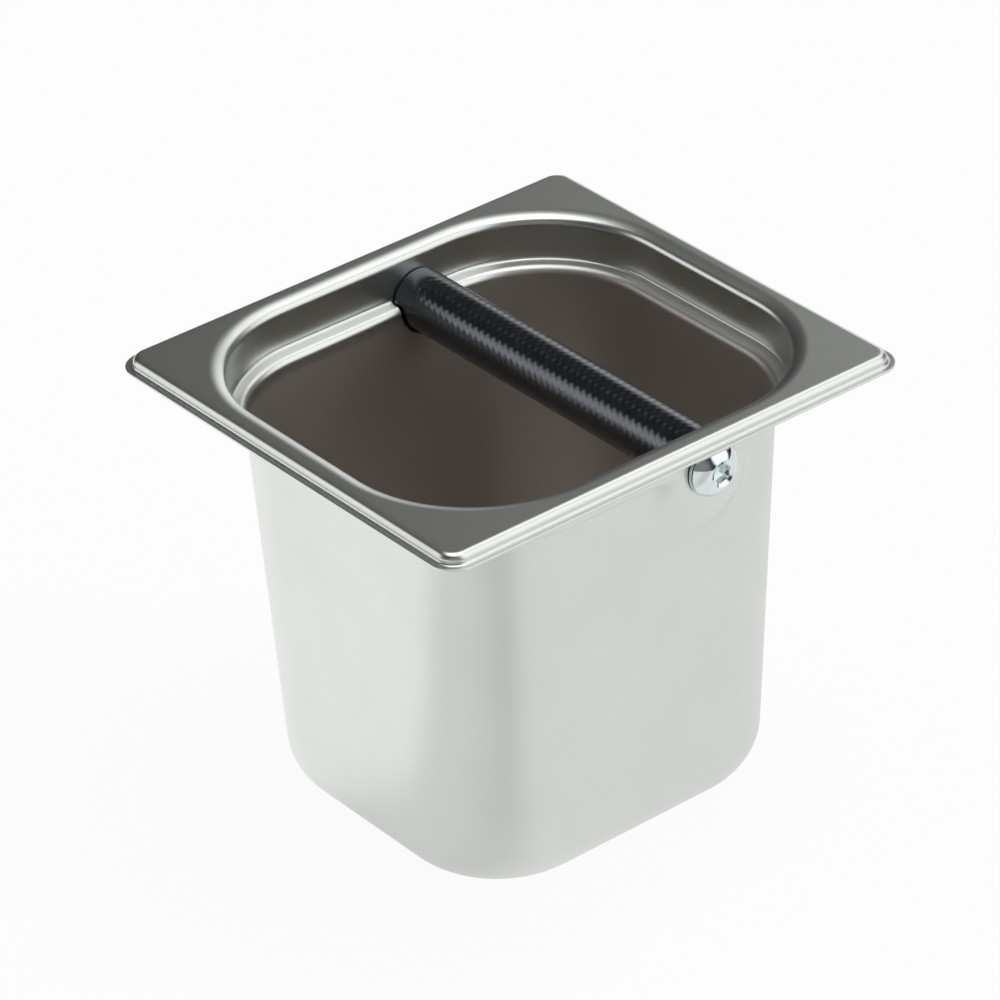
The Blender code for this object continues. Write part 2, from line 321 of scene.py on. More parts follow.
@dataclass(frozen=True)
class BlackRubber:
    """Black hose rubber, a little polished on the crowns of its cloth imprint."""

    colour: tuple[float, float, float] = (0.006, 0.006, 0.007)
    dusty: tuple[float, float, float] = (0.011, 0.011, 0.012)
    sheen: tuple[float, float, float] = (0.86, 0.90, 1.0)
    roughness: float = 0.2
    gloss: float = 1.0
    refraction: float = 1.7

    def material(self) -> bpy.types.Material:
        """The hose's finish."""
        paint = Paintwork("black_rubber", 0.0)
        board = paint.board
        dust = board.noise(paint.place, 240.0, detail=4)
        pores = board.noise(paint.place, 3200.0, detail=2)
        crown = board.attribute("crown")
        paint.set(
            Base_Color=board.colour(dust.eased(0.4, 0.8), self.colour, self.dusty),
            Roughness=dust.between(self.roughness, self.roughness + 0.1) - crown * 0.04,
            Specular_IOR_Level=self.gloss,
            IOR=self.refraction,
            Specular_Tint=(*self.sheen, 1.0),
        )
        paint.relief(pores, 0.02 * MM, 0.15)
        return paint.material


@dataclass(frozen=True)
class BrightZinc:
    """Bright zinc plating, with a faint cloudiness and a slight orange peel."""

    colour: tuple[float, float, float] = (0.75, 0.81, 0.81)
    clouded: tuple[float, float, float] = (0.69, 0.76, 0.77)
    roughness: float = 0.05

    def material(self, name: str) -> bpy.types.Material:
        """The finish of screws or washers.

        Args:
            name: The material's name.

        Returns:
            The material.
        """
        paint = Paintwork(name, 1.0)
        board = paint.board
        clouds = board.noise(paint.place, 300.0, detail=3)
        peel = board.noise(paint.place, 1300.0, detail=1)
        paint.set(
            Base_Color=board.colour(clouds.eased(0.35, 0.75), self.colour, self.clouded),
            Roughness=clouds.between(self.roughness, self.roughness + 0.07),
        )
        paint.relief(peel, 0.02 * MM, 0.1)
        return paint.material


def add_piece(name: str, mesh: bpy.types.Mesh, finish: bpy.types.Material | None) -> bpy.types.Object:
    """Put a mesh into the scene.

    Args:
        name: Name of the piece.
        mesh: Its mesh, already in place.
        finish: Its material, unless the mesh has one.

    Returns:
        The new object.
    """
    mesh.name = name
    piece = bpy.data.objects.new(name, mesh)
    bpy.context.scene.collection.objects.link(piece)
    if finish is not None:
        mesh.materials.clear()
        mesh.materials.append(finish)
    return piece


def shade(mesh: bpy.types.Mesh, sharp_angle: float) -> None:
    """Shade a mesh smoothly, apart from edges sharper than an angle in degrees."""
    mesh.shade_smooth()
    mesh.set_sharp_from_angle(angle=math.radians(sharp_angle))


def evaluated_mesh(piece: bpy.types.Object) -> bpy.types.Mesh:
    """The plain mesh, one of its own, that a piece's modifiers give."""
    bpy.context.view_layer.update()
    graph = bpy.context.evaluated_depsgraph_get()
    return bpy.data.meshes.new_from_object(
        piece.evaluated_get(graph), preserve_all_data_layers=True, depsgraph=graph
    )


def settle(piece: bpy.types.Object) -> None:
    """Swap a piece's mesh for what its modifiers make of it, and remove them."""
    mesh = evaluated_mesh(piece)
    piece.modifiers.clear()
    spent = piece.data
    piece.data = mesh
    bpy.data.meshes.remove(spent)
    mesh.name = piece.name


def skin_over(name: str, rings: Sequence[np.ndarray], closed: bool = False) -> bpy.types.Mesh:
    """A mesh through rings of points.

    Args:
        name: Name of the mesh.
        rings: Rings of as many points each, as arrays of three columns.
        closed: Whether the last ring meets the first; otherwise both ends are capped.

    Returns:
        The mesh, its faces outwards.
    """
    count = len(rings[0])
    points = np.concatenate(rings)
    here = np.arange(count)
    ahead = (here + 1) % count
    faces: list[tuple[int, ...]] = []
    rows = len(rings) if closed else len(rings) - 1
    for row in range(rows):
        low = row * count
        high = ((row + 1) % len(rings)) * count
        faces += zip(low + here, low + ahead, high + ahead, high + here)
    if not closed:
        faces.append(tuple(here[::-1]))
        faces.append(tuple((len(rings) - 1) * count + here))
    shape = bmesh.new()
    corners = [shape.verts.new(point) for point in points]
    for face in faces:
        shape.faces.new([corners[i] for i in face])
    bmesh.ops.recalc_face_normals(shape, faces=shape.faces)
    mesh = bpy.data.meshes.new(name)
    shape.to_mesh(mesh)
    shape.free()
    return mesh


def ring_of(radii: np.ndarray | float, level: float, sides: int) -> np.ndarray:
    """Points round the Z axis in three columns, with one radius or one for each point."""
    turns = np.arange(sides) * TURN / sides
    return np.column_stack((radii * np.cos(turns), radii * np.sin(turns), np.full(sides, level)))


def turned(name: str, profile: Iterable[tuple[float, float]], sides: int, closed: bool) -> bpy.types.Mesh:
    """A mesh turned round the Z axis from the radius and level of each ring."""
    return skin_over(name, [ring_of(radius, level, sides) for radius, level in profile], closed)


def rounded_corner(
    radius: float, level: float, size: float, start: float, steps: int
) -> list[tuple[float, float]]:
    """Profile points of a quarter round.

    Args:
        radius: Radius of the round's centre.
        level: Level of the round's centre.
        size: Radius of the round itself.
        start: Angle of its first point, in degrees from outwards to upwards.
        steps: Number of steps over the quarter, negative to go clockwise.

    Returns:
        Radius and level of each point.
    """
    way = math.copysign(90.0, steps)
    angles = [math.radians(start + way * step / abs(steps)) for step in range(abs(steps) + 1)]
    return [(radius + size * math.cos(angle), level + size * math.sin(angle)) for angle in angles]


class GeometryRule:
    """A Geometry Nodes tree that moves the points of a mesh by a rule with named sizes."""

    def __init__(self, name: str, sizes: dict[str, float]) -> None:
        """Start the tree.

        Args:
            name: Name of the tree.
            sizes: Named inputs and what they are set to.
        """
        self.tree = bpy.data.node_groups.new(name, "GeometryNodeTree")
        self.board = NodeBoard(self.tree)
        face = self.tree.interface
        face.new_socket(name="Geometry", in_out="INPUT", socket_type="NodeSocketGeometry")
        face.new_socket(name="Geometry", in_out="OUTPUT", socket_type="NodeSocketGeometry")
        sockets = {
            size: face.new_socket(name=size, in_out="INPUT", socket_type="NodeSocketFloat") for size in sizes
        }
        finish = face.new_socket(name="finish", in_out="INPUT", socket_type="NodeSocketMaterial")
        self.values = {sockets[size].identifier: value for size, value in sizes.items()}
        self.finish_socket = finish.identifier
        self.given = self.board.add("NodeGroupInput")
        self.sizes = {size: Field(self.board, self.given.outputs[size]) for size in sizes}
        self.geometry = self.given.outputs["Geometry"]
        position = self.board.add("GeometryNodeInputPosition").outputs[0]
        self.x, self.y, self.z = self.board.parts(position)
        self.radius = (self.x * self.x + self.y * self.y).maths("SQRT")
        self.angle = self.y.maths("ARCTAN2", self.x)

    def store(self, name: str, value: Field) -> None:
        """Write a number onto the points.

        Args:
            name: Name of the attribute.
            value: The number.
        """
        node = self.board.add("GeometryNodeStoreNamedAttribute", {"domain": "POINT"}, Geometry=self.geometry)
        self.board.plug(node.inputs["Name"], name)
        self.board.plug(node.inputs["Value"], value)
        self.geometry = node.outputs[0]

    def set_radius(self, radius: Field) -> None:
        """Move each point square to the Z axis, to a new distance from it."""
        share = radius / self.radius
        joined = self.board.add("ShaderNodeCombineXYZ", X=self.x * share, Y=self.y * share, Z=self.z)
        move = self.board.add("GeometryNodeSetPosition", Geometry=self.geometry, Position=joined.outputs[0])
        self.geometry = move.outputs[0]

    def shaped(self, mesh: bpy.types.Mesh, finish: bpy.types.Material) -> bpy.types.Mesh:
        """Run the rule on a mesh.

        Args:
            mesh: The plain mesh round the Z axis, which is used up.
            finish: Material that the tree sets.

        Returns:
            The shaped mesh.
        """
        real = self.board.add("GeometryNodeRealizeInstances", Geometry=self.geometry)
        dressed = self.board.add(
            "GeometryNodeSetMaterial", Geometry=real.outputs[0], Material=self.given.outputs["finish"]
        )
        self.board.plug(self.board.add("NodeGroupOutput").inputs["Geometry"], dressed.outputs[0])
        blank = add_piece(mesh.name, mesh, None)
        modifier = blank.modifiers.new(self.tree.name, "NODES")
        modifier.node_group = self.tree
        for identifier, value in self.values.items():
            modifier[identifier] = value
        modifier[self.finish_socket] = finish
        shaped = evaluated_mesh(blank)
        blank.modifiers.clear()
        bpy.data.objects.remove(blank, do_unlink=True)
        bpy.data.meshes.remove(mesh)
        return shaped


class SectionPen:
    """Draws one face of the pan's sheet as a section line, from the rim inwards and down."""

    def __init__(self, inset: float, level: float, skin: float) -> None:
        """Set the pen down.

        Args:
            inset: Distance in from the outline that the line belongs to.
            level: Height of the sheet's upper face there.
            skin: Depth of the drawn face below the upper one.
        """
        self.skin = skin
        self.heading = 0.0
        self.points = [(inset, level - skin)]

    def run(self, length: float, stops: Sequence[float] = ()) -> None:
        """Draw straight on.

        Args:
            length: Length of the stretch.
            stops: Distances of extra points along it.
        """
        inset, level = self.points[-1]
        for distance in [*stops, length]:
            self.points.append(
                (inset + distance * math.cos(self.heading), level + distance * math.sin(self.heading))
            )

    def bend(self, angle: float, radius: float, steps: int) -> None:
        """Draw a round.

        Args:
            angle: Turn of the line, positive to the left.
            radius: Radius on the sheet's upper face.
            steps: Number of points.
        """
        inset, level = self.points[-1]
        side = math.copysign(1.0, angle)
        reach = radius + side * self.skin
        for step in range(1, steps + 1):
            turn = self.heading + angle * step / steps
            self.points.append(
                (
                    inset + side * reach * (math.sin(turn) - math.sin(self.heading)),
                    level - side * reach * (math.cos(turn) - math.cos(self.heading)),
                )
            )
        self.heading += angle


@dataclass
class BarPlace:
    """Where the knock bar's axis lies, and the seats that carry its ends."""

    from_middle: float = 19.3 * MM
    level: float = 133.5 * MM
    wall: float = 69.25 * MM
    socket_turn: float = math.radians(-16.0)

    def laid(self, side: Side, reach: float) -> Matrix:
        """Placement of a piece along Z whose seat is at level 0.

        Args:
            side: Which way its +Z faces along the bar.
            reach: Distance of its seat from the middle of the box.

        Returns:
            The placement.
        """
        lying = Matrix.Rotation(-side.value * math.pi / 2, 4, "X")
        turned_up = Matrix.Rotation(self.socket_turn, 4, "Y")
        spot = Vector((self.from_middle, side.value * reach, self.level))
        return Matrix.Translation(spot) @ turned_up @ lying


@dataclass
class Pan:
    """The drawn pan: stepped rim, rolled mouth, collar, stacking shoulder, leaning walls and flat base."""

    bar: BarPlace
    finish: bpy.types.Material
    sheet: float = 0.8 * MM
    sheet_edge: float = 0.22 * MM
    height: float = 150.0 * MM
    rim: tuple[float, float, float] = (88.0 * MM, 81.0 * MM, 8.5 * MM)
    wall: tuple[float, float, float] = (71.0 * MM, 64.0 * MM, 38.6 * MM)
    foot: tuple[float, float, float] = (63.9 * MM, 58.6 * MM, 34.8 * MM)
    foot_fillet: float = 16.0 * MM
    lip_reach: float = 2.4 * MM
    lip_fillet: float = 0.8 * MM
    step_height: float = 3.3 * MM
    step_round: float = 2.3 * MM
    rim_flat: float = 1.2 * MM
    rim_first_row: float = 0.3 * MM
    roll_lead: float = 0.6 * MM
    roll_ease: float = 9.0 * MM
    roll_ease_angle: float = math.radians(25.0)
    roll_round: float = 2.6 * MM
    collar_depth: float = 15.0 * MM
    collar_fillet: float = 1.2 * MM
    shoulder_width: float = 5.25 * MM
    shoulder_fall: float = math.radians(8.0)
    shoulder_round: float = 2.6 * MM
    seat_radius: float = 9.8 * MM
    seat_flanks: tuple[float, float] = (0.5 * MM, 11.0 * MM)
    seat_skirts: tuple[float, float] = (0.5 * MM, 20.0 * MM)
    seat_growth: float = 0.6 * MM
    hole_radius: float = 5.4 * MM
    film_level: float = 131.5 * MM
    film_rise: float = 4.5 * MM
    film_slant: float = 40.0 * MM
    film_fade: float = 3.0 * MM
    corner_steps: int = 22
    end_columns: int = 10
    plain_column: float = 3.2 * MM
    seat_column: float = 0.5 * MM
    plain_row: float = 4.5 * MM
    seat_row: float = 0.5 * MM
    last_row: float = 0.4 * MM
    hole_sides: int = 72

    @property
    def shoulder_level(self) -> float:
        """Height of the stacking shoulder's outer edge."""
        return self.height - self.collar_depth

    @property
    def seat_reach(self) -> float:
        """Distance from the bar's axis that a seat can reach."""
        return self.seat_radius + max(self.seat_flanks) + self.seat_growth

    def rim_section(self, skin: float) -> list[tuple[float, float]]:
        """Section of the rim.

        Args:
            skin: Depth of the drawn face below the upper one.

        Returns:
            Inset and level from the lip's edge to the flat of the rim.
        """
        quarter = math.pi / 2
        pen = SectionPen(self.sheet_edge, self.height - self.step_height, skin)
        lip_run = self.lip_reach - self.lip_fillet - self.sheet_edge
        pen.run(lip_run, [lip_run * 0.15, lip_run * 0.85])
        pen.bend(quarter, self.lip_fillet, 6)
        pen.run(self.step_height - self.lip_fillet - self.step_round)
        pen.bend(-quarter, self.step_round, 12)
        pen.run(self.rim_flat, [self.rim_first_row])
        return pen.points

    def wall_stops(self, top: float, length: float) -> list[float]:
        """Rows of the wall, close together where a seat is pressed into it.

        Args:
            top: Height of the wall's upper end.
            length: Length of the wall.

        Returns:
            Distances down from the upper end.
        """
        seat_end = top - (self.bar.level - self.seat_radius - max(self.seat_skirts) - self.seat_growth)
        rows = int(seat_end / self.seat_row)
        close = [seat_end * (row + 1) / rows for row in range(rows)]
        left = length - seat_end
        rows = int(left / self.plain_row)
        plain = [seat_end + left * (row + 1) / rows for row in range(rows - 1)]
        return [*close, *plain, length - self.last_row]

    def body_section(self, skin: float) -> list[tuple[float, float]]:
        """Section of the body.

        Args:
            skin: Depth of the drawn face below the upper one.

        Returns:
            Inset and level from the flat of the rim to the base.
        """
        quarter = math.pi / 2
        ease, fall = self.roll_ease_angle, self.shoulder_fall
        reach = self.roll_ease * math.sin(ease) + self.roll_round * (1 - math.sin(ease))
        drop = self.roll_ease * (1 - math.cos(ease)) + self.roll_round * math.cos(ease)
        rounds = (self.collar_fillet + self.shoulder_round) * (1 - math.sin(fall))
        shoulder_run = (self.shoulder_width - rounds) / math.cos(fall)
        shoulder_drop = shoulder_run * math.sin(fall) + self.shoulder_round * math.cos(fall)
        wall_top = self.shoulder_level - shoulder_drop
        wall_run = wall_top - self.sheet - self.foot_fillet
        collar_run = self.collar_depth - drop - self.collar_fillet * math.cos(fall)
        start = -self.shoulder_width - reach
        pen = SectionPen(start - self.roll_lead, self.height, skin)
        pen.run(self.roll_lead)
        pen.bend(-ease, self.roll_ease, 9)
        pen.bend(ease - quarter, self.roll_round, 14)
        pen.run(collar_run, [collar_run * share for share in (0.06, 0.3, 0.6, 0.85, 0.96)])
        pen.bend(quarter - fall, self.collar_fillet, 7)
        pen.run(shoulder_run, [shoulder_run * share for share in (0.15, 0.4, 0.65, 0.85)])
        pen.bend(fall - quarter, self.shoulder_round, 12)
        pen.run(wall_run, self.wall_stops(wall_top, wall_run))
        pen.bend(quarter, self.foot_fillet, 16)
        return pen.points

    def stations(self) -> np.ndarray:
        """Places along a long side: from -1 to 1 on its straight stretch, to -2 and 2 round its corners."""
        straight = self.wall[0] - self.wall[2]
        low = max(self.bar.from_middle - self.seat_reach - self.sheet, -straight)
        high = min(self.bar.from_middle + self.seat_reach + self.sheet, straight)
        plain = np.linspace(-straight, low, max(int((low + straight) / self.plain_column), 2))
        seat = np.linspace(low, high, int((high - low) / self.seat_column))
        rest = np.linspace(high, straight, max(int((straight - high) / self.plain_column), 2))
        middle = np.unique(np.round(np.concatenate((plain, seat, rest)) / straight, 6))
        corner = 1.0 + np.arange(1, self.corner_steps + 1) / self.corner_steps
        return np.concatenate((-corner[::-1], middle, corner))

    def outline_ring(self, sizes: Sequence[float], level: float) -> np.ndarray:
        """A ring of the pan: a rounded rectangle.

        Args:
            sizes: Half length, half width and corner radius.
            level: Height of the ring.

        Returns:
            An array of three columns.
        """
        half_length, half_width, corner = sizes
        places = self.stations()
        turns = np.clip(np.abs(places) - 1.0, 0.0, 1.0) * math.pi / 2
        straight = np.clip(places, -1.0, 1.0) * (half_length - corner)
        x = straight + np.sign(places) * corner * np.sin(turns)
        y = half_width - corner + corner * np.cos(turns)
        ends = np.linspace(1.0, -1.0, self.end_columns + 2)[1:-1] * (half_width - corner)
        right = np.column_stack((np.full_like(ends, half_length), ends))
        side = np.column_stack((x, y))
        flat = np.concatenate((side, right, side[::-1] * (1, -1), right[::-1] * (-1, 1)))
        return np.column_stack((flat, np.full(len(flat), level)))

    def rim_ring(self, inset: float, level: float) -> np.ndarray:
        """A ring of the rim, at a distance in from its edge."""
        return self.outline_ring([size - inset for size in self.rim], level)

    def body_outline(self, inset: float, level: float) -> list[float]:
        """Half length, half width and corner radius of the body, at a distance in from its wall."""
        share = min(level / self.shoulder_level, 1.0)
        return [low + (high - low) * share - inset for low, high in zip(self.foot, self.wall)]

    def face(self, skin: Skin) -> list[np.ndarray]:
        """Rings of one face of the sheet, from the lip's edge to the base.

        Args:
            skin: Which face.

        Returns:
            The rings.
        """
        depth = skin.value * self.sheet
        rim = [self.rim_ring(inset, level) for inset, level in self.rim_section(depth)]
        body = [
            self.outline_ring(self.body_outline(inset, level), level)
            for inset, level in self.body_section(depth)
        ]
        flat = [rim[-1] + (body[0] - rim[-1]) * share for share in (0.25, 0.5, 0.75)]
        return [self.pressed(ring, skin) for ring in rim + flat + body]

    def pressed(self, ring: np.ndarray, skin: Skin) -> np.ndarray:
        """Press a ring out flush with the collar round each screw hole.

        Args:
            ring: The ring, as drawn.
            skin: The face of the sheet that it belongs to.

        Returns:
            The ring with its seats, which have short flanks inside and long ones outside.
        """
        x, y, z = ring.T
        flush = self.bar.wall + skin.value * self.sheet
        side_flank, skirt = self.seat_flanks[skin.value], self.seat_skirts[skin.value]
        distance = np.hypot(x - self.bar.from_middle, z - self.bar.level)
        below = np.clip(self.bar.level - z, 0.0, None) / distance
        flank = side_flank + (skirt - side_flank) * below**2
        foot = self.seat_radius + flank + self.seat_growth * skin.value
        share = np.clip((foot - distance) / flank, 0.0, 1.0)
        share = share * share * (3 - 2 * share)
        gap = max(flush - np.abs(y).max(), 0.0)
        moved = z <= self.shoulder_level + self.collar_fillet
        return np.column_stack((x, y + np.sign(y) * gap * share * moved, z))

    def lip_edge(self) -> list[np.ndarray]:
        """Rings round the lip's outer edge, from its upper face to its lower one."""
        top = self.height - self.step_height
        size = self.sheet_edge
        turns = (0.4, 0.8, 1.2, math.pi / 2)
        upper = [(size * (1 - math.sin(turn)), top - size * (1 - math.cos(turn))) for turn in turns]
        lower = [(inset, 2 * top - self.sheet - level) for inset, level in reversed(upper)]
        return [self.rim_ring(inset, level) for inset, level in upper + lower]

    def drill(self) -> bpy.types.Object:
        """The cutter of both screw holes."""
        reach = self.rim[1]
        ends = [(self.hole_radius, -reach), (self.hole_radius, reach)]
        mesh = turned("screw_hole_cutter", ends, self.hole_sides, closed=False)
        mesh.transform(self.bar.laid(Side.REAR, 0.0))
        return add_piece("screw_hole_cutter", mesh, None)

    def build(self) -> bpy.types.Object:
        """Build and dress the pan.

        Returns:
            The finished piece.
        """
        inside, outside = self.face(Skin.INSIDE), self.face(Skin.OUTSIDE)
        rings = inside[::-1] + self.lip_edge() + outside
        mesh = skin_over("drawn_pan", rings)
        film = mesh.attributes.new("inside", "FLOAT", "POINT")
        count = len(inside[0])
        x, _, z = np.concatenate(rings).T
        narrow_side = np.clip((x - self.bar.from_middle) / self.film_slant, 0.0, 1.0)
        film_line = self.film_level + self.film_rise * narrow_side
        values = np.clip((film_line - z) / self.film_fade, 0.0, 1.0)
        values[len(inside) * count :] = 0.0
        film.data.foreach_set("value", values.astype(np.float32))
        piece = add_piece("drawn_pan", mesh, self.finish)
        cutter = self.drill()
        holes = piece.modifiers.new("screw_holes", "BOOLEAN")
        holes.solver = "EXACT"
        holes.object = cutter
        settle(piece)
        bpy.data.objects.remove(cutter, do_unlink=True)
        shade(piece.data, 35.0)
        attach(piece, "box")
        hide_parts("pan")
        return piece


@dataclass
class KnockBar:
    """The steel rod and the rubber hose on it, which carries the imprint of its wrapping cloth."""

    bar: BarPlace
    rubber: bpy.types.Material
    steel: bpy.types.Material
    outer: float = 9.65 * MM
    bore: float = 7.0 * MM
    half_length: float = 68.85 * MM
    edge_round: float = 0.5 * MM
    imprint_pitch: float = 2.85 * MM
    imprint_repeats: int = 13
    imprint_depth: float = 0.1 * MM
    imprint_skin: float = 0.2 * MM
    plain_end: float = 6.0 * MM
    fade: float = 2.0 * MM
    row: float = 0.34 * MM
    sides: int = 156

    def profile(self) -> list[tuple[float, float]]:
        """Closed section of the hose, radius and level."""
        edge, end = self.edge_round, self.half_length
        top = rounded_corner(self.outer - edge, end - edge, edge, 90.0, -5)
        bottom = [(radius, -level) for radius, level in reversed(top)]
        straight = np.arange(end - edge - self.row, -(end - edge), -self.row)
        outside = [(self.outer, float(level)) for level in straight]
        bore = [(self.bore, level) for level in (-end, -end + edge, end - edge, end)]
        face_mid = (self.bore + self.outer) / 2
        return top + outside + bottom + [(face_mid, -end)] + bore + [(face_mid, end)]

    def imprint(self) -> GeometryRule:
        """The rule that sinks rows of small diamonds into the hose's outside."""
        rule = GeometryRule(
            "cloth_imprint",
            {
                "pitch": self.imprint_pitch,
                "repeats": float(self.imprint_repeats),
                "depth": self.imprint_depth,
                "outer radius": self.outer,
                "imprinted half length": self.half_length - self.plain_end,
                "fade": self.fade,
            },
        )
        sizes = rule.sizes
        along = (rule.z * TURN / sizes["pitch"]).maths("COSINE")
        around = (rule.angle * sizes["repeats"]).maths("COSINE")
        crown = along * around * 0.5 + 0.5
        reach = sizes["imprinted half length"]
        inner = rule.z.maths("ABSOLUTE").eased(reach, reach - sizes["fade"])
        skin = rule.radius.eased(sizes["outer radius"] - self.imprint_skin, sizes["outer radius"])
        rule.store("crown", crown * inner)
        rule.set_radius(rule.radius - sizes["depth"] * (crown * -1.0 + 1.0) * inner * skin)
        return rule

    def build(self) -> bpy.types.Object:
        """Build and dress the bar.

        Returns:
            The finished hose.
        """
        blank = turned("rubber_hose", self.profile(), self.sides, closed=True)
        mesh = self.imprint().shaped(blank, self.rubber)
        mesh.transform(self.bar.laid(Side.REAR, 0.0))
        shade(mesh, 50.0)
        hose = add_piece("rubber_hose", mesh, None)
        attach(hose, "sleeve")
        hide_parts("rubber_sleeve")
        for slot in frame["nodes"]["knock_bar_rod"].material_slots:
            slot.material = self.steel
        return hose


@dataclass
class Fastener:
    """One button-head screw with its washer."""

    bar: BarPlace
    side: Side
    plating: bpy.types.Material
    washer_plating: bpy.types.Material
    thread_radius: float = 5.0 * MM
    thread_pitch: float = 1.5 * MM
    thread_depth: float = 0.92 * MM
    shank_length: float = 20.0 * MM
    shank_chamfer: float = 1.0 * MM
    plain_shank: float = 1.2 * MM
    neck_row: float = 0.2 * MM
    head_radius: float = 8.75 * MM
    head_height: float = 4.0 * MM
    head_edge: float = 0.3 * MM
    head_bevel: float = 0.12 * MM
    flat_radius: float = 4.4 * MM
    countersink_radius: float = 4.3 * MM
    countersink_slope: float = math.tan(math.radians(30.0))
    hex_half: float = 3.0 * MM
    hex_depth: float = 3.2 * MM
    hex_edge: float = 0.15 * MM
    drill_point: float = 0.7 * MM
    washer_radius: float = 9.0 * MM
    washer_bore: float = 5.3 * MM
    washer_thickness: float = 1.0 * MM
    washer_round: float = 0.2 * MM
    washer_seat: float = 70.35 * MM
    head_seat: float = 71.65 * MM
    sides: int = 96
    rows_per_turn: int = 12

    def dome(self) -> list[tuple[float, float]]:
        """Radius and level over the head, from its seat to the flat on top."""
        edge, flat = self.head_radius, self.flat_radius
        low, high = self.head_edge, self.head_height
        gap = edge**2 + low**2 - flat**2 - high**2
        centre = gap / (2 * (low - high))
        sphere = math.hypot(flat, high - centre)
        first = math.atan2(low - centre, edge)
        last = math.atan2(high - centre, flat)
        turns = np.linspace(first, last, 20)
        arc = [(sphere * math.cos(turn), centre + sphere * math.sin(turn)) for turn in turns]
        bevel = self.head_bevel
        return [(edge - bevel, 0.0), (edge - bevel * 0.3, bevel * 0.3), (edge, bevel), *arc]

    def socket_rings(self) -> list[np.ndarray]:
        """Rings of the hex socket, from its countersink down to the drill point at its bottom."""
        turns = np.arange(self.sides) * TURN / self.sides
        radii = self.hex_half / np.cos(turns % (TURN / 6) - TURN / 12)
        ground = self.head_height - (self.countersink_radius - radii) * self.countersink_slope
        floor = self.head_height - self.hex_depth
        rings = [ring_of(self.countersink_radius, self.head_height, self.sides)]
        for level in (ground, ground - self.hex_edge, np.full(self.sides, floor)):
            flat = ring_of(radii, 0.0, self.sides)
            rings.append(np.column_stack((flat[:, :2], level)))
        rings.append(ring_of(self.hex_half * 0.85, floor, self.sides))
        rings.append(ring_of(self.hex_half * 0.2, floor - self.drill_point, self.sides))
        return rings

    def shank(self) -> list[tuple[float, float]]:
        """Radius and level up the shank, from its tip to the head's seat."""
        tip = self.thread_radius - self.shank_chamfer
        row = self.thread_pitch / self.rows_per_turn
        levels = np.arange(-self.shank_length, -self.plain_shank, row)
        over_tip = np.minimum(tip + levels + self.shank_length, self.thread_radius)
        rows = [(float(radius), float(level)) for radius, level in zip(over_tip, levels)]
        neck = [(self.thread_radius, level) for level in (-self.plain_shank, -self.neck_row, 0.0)]
        return [(tip * 0.5, -self.shank_length), *rows, *neck]

    def threading(self) -> GeometryRule:
        """The rule that cuts a right-hand thread into the shank."""
        rule = GeometryRule(
            "screw_thread",
            {
                "pitch": self.thread_pitch,
                "depth": self.thread_depth,
                "outer radius": self.thread_radius,
                "thread end": -self.plain_shank,
            },
        )
        sizes = rule.sizes
        phase = (rule.z / sizes["pitch"] - rule.angle / TURN).maths("FRACT")
        ridge = ((phase * 2.0 - 1.0).maths("ABSOLUTE") * 1.25 - 0.125).clamped()
        run_out = rule.z.eased(sizes["thread end"], sizes["thread end"] - sizes["pitch"])
        cut = sizes["outer radius"] - sizes["depth"] * (ridge * -1.0 + 1.0) * run_out
        on_shank = rule.z.maths("LESS_THAN", sizes["thread end"])
        kept = rule.radius.maths("MINIMUM", cut)
        rule.set_radius(rule.radius + (kept - rule.radius) * on_shank)
        return rule

    def build_screw(self) -> bpy.types.Object:
        """Build and dress the screw.

        Returns:
            The finished screw.
        """
        name = f"{self.side.word}_button_screw"
        rings = [ring_of(radius, level, self.sides) for radius, level in self.shank() + self.dome()]
        blank = skin_over(name, rings + self.socket_rings())
        mesh = self.threading().shaped(blank, self.plating)
        mesh.transform(self.bar.laid(self.side, self.head_seat))
        shade(mesh, 30.0)
        screw = add_piece(name, mesh, None)
        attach(screw, f"{self.side.word}_screw")
        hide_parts(f"{self.side.word}_screw")
        return screw

    def build_washer(self) -> bpy.types.Object:
        """Build and dress the washer.

        Returns:
            The finished washer.
        """
        name = f"{self.side.word}_flat_washer"
        size, outer, top = self.washer_round, self.washer_radius, self.washer_thickness
        upper = rounded_corner(outer - size, top - size, size, 90.0, -5)
        lower = rounded_corner(outer - size, size, size, 0.0, -5)
        bore = self.washer_bore
        inner = [(bore + size, 0.0), (bore, size), (bore, top - size), (bore + size, top)]
        mesh = turned(name, upper + lower + inner, self.sides, closed=True)
        mesh.transform(self.bar.laid(self.side, self.washer_seat))
        shade(mesh, 50.0)
        washer = add_piece(name, mesh, self.washer_plating)
        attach(washer, f"{self.side.word}_washer")
        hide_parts(f"{self.side.word}_washer")
        return washer


@dataclass(frozen=True)
class SoftBox:
    """A soft round patch of light in the sky: where it is, its half angles in degrees and its level."""

    towards: tuple[float, float, float]
    middle: float
    edge: float
    level: float


